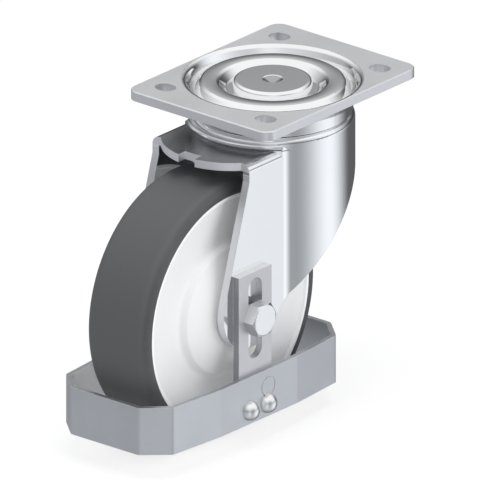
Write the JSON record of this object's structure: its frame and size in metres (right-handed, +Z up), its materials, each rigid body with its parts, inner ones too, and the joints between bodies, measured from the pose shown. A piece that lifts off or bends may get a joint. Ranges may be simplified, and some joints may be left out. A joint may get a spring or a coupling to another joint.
{
  "type": "swivel castor",
  "caption": "Plate-mounted swivel castor: pressed fork on a ball-race head, wide wheel on a bolt axle and a height-set foot guard.",
  "frame": {"origin": "centre of the mounting plate's top face, on the swivel axis", "axes": "+Z up out of the plate, +Y the way the castor rolls with the wheel trailing at -Y, +X along the axle towards the bolt's head"},
  "size_m": [0.1135, 0.2247, 0.2015],
  "materials": {
    "zinc_plate": "bright zinc-plated pressed steel",
    "polished_steel": "polished pressed steel",
    "bolt_steel": "zinc-plated fastener",
    "guard_steel": "matt zinc-plated steel strip",
    "bearing_steel": "ground bearing steel",
    "tread_rubber": "dark grey elastic tread, fine satin",
    "wheel_nylon": "natural off-white nylon",
    "cage_nylon": "moulded cage",
    "seal_rubber": "black rubber",
    "head_zinc": "dull zinc"
  },
  "bodies": {
    "plate": {"top_plate": "zinc_plate", "dust_ring": "zinc_plate", "swivel_seal": "seal_rubber", "kingpin": "head_zinc", "kingpin_nut": "bolt_steel", "lower_race": "zinc_plate"},
    "fork": {"fork": "polished_steel", "axle_bolt": "bolt_steel", "axle_nut": "bolt_steel", "nut_washer": "bolt_steel", "axle_tube": "bolt_steel", "thrust_washer_right": "bolt_steel", "thrust_washer_left": "bolt_steel", "bearing_inner_right": "bearing_steel", "bearing_inner_left": "bearing_steel"},
    "wheel": {"wheel_core": "wheel_nylon", "wheel_tread": "tread_rubber", "bearing_outer_right": "bearing_steel", "bearing_outer_left": "bearing_steel", "bearing_shield_right": "bearing_steel", "bearing_shield_left": "bearing_steel"},
    "guard": {"guard_band": "guard_steel", "guard_strap_right": "guard_steel", "guard_strap_left": "guard_steel", "guard_rivets_right": "bolt_steel", "guard_rivets_left": "bolt_steel"},
    "upper_ball_row": {"upper_balls": "bearing_steel"},
    "lower_ball_row": {"lower_balls": "bearing_steel"},
    "axle_ball_rows": {"bearing_balls_right": "bearing_steel", "bearing_balls_left": "bearing_steel", "bearing_cage_right": "cage_nylon", "bearing_cage_left": "cage_nylon"}
  },
  "joints": [
    {"name": "swivel", "type": "hinge", "parent": "plate", "child": "fork", "pos_m": [0, 0, 0], "axis": [0, 0, 1], "continuous": true},
    {"name": "wheel_spin", "type": "hinge", "parent": "fork", "child": "wheel", "pos_m": [0, -0.066, -0.1215], "axis": [1, 0, 0], "continuous": true},
    {"name": "guard_height", "type": "slide", "parent": "fork", "child": "guard", "axis": [0, 0, 1], "range_m": [-0.014, 0.019]},
    {"name": "upper_ball_orbit", "type": "hinge", "parent": "plate", "child": "upper_ball_row", "pos_m": [0, 0, 0], "axis": [0, 0, 1], "continuous": true},
    {"name": "lower_ball_orbit", "type": "hinge", "parent": "plate", "child": "lower_ball_row", "pos_m": [0, 0, 0], "axis": [0, 0, 1], "continuous": true},
    {"name": "axle_ball_orbit", "type": "hinge", "parent": "fork", "child": "axle_ball_rows", "pos_m": [0, -0.066, -0.1215], "axis": [1, 0, 0], "continuous": true}
  ],
  "couplings": [
    {"joint": "upper_ball_orbit", "follows": "swivel", "ratio": 0.5},
    {"joint": "lower_ball_orbit", "follows": "swivel", "ratio": 0.5},
    {"joint": "axle_ball_orbit", "follows": "wheel_spin", "ratio": 0.62}
  ]
}
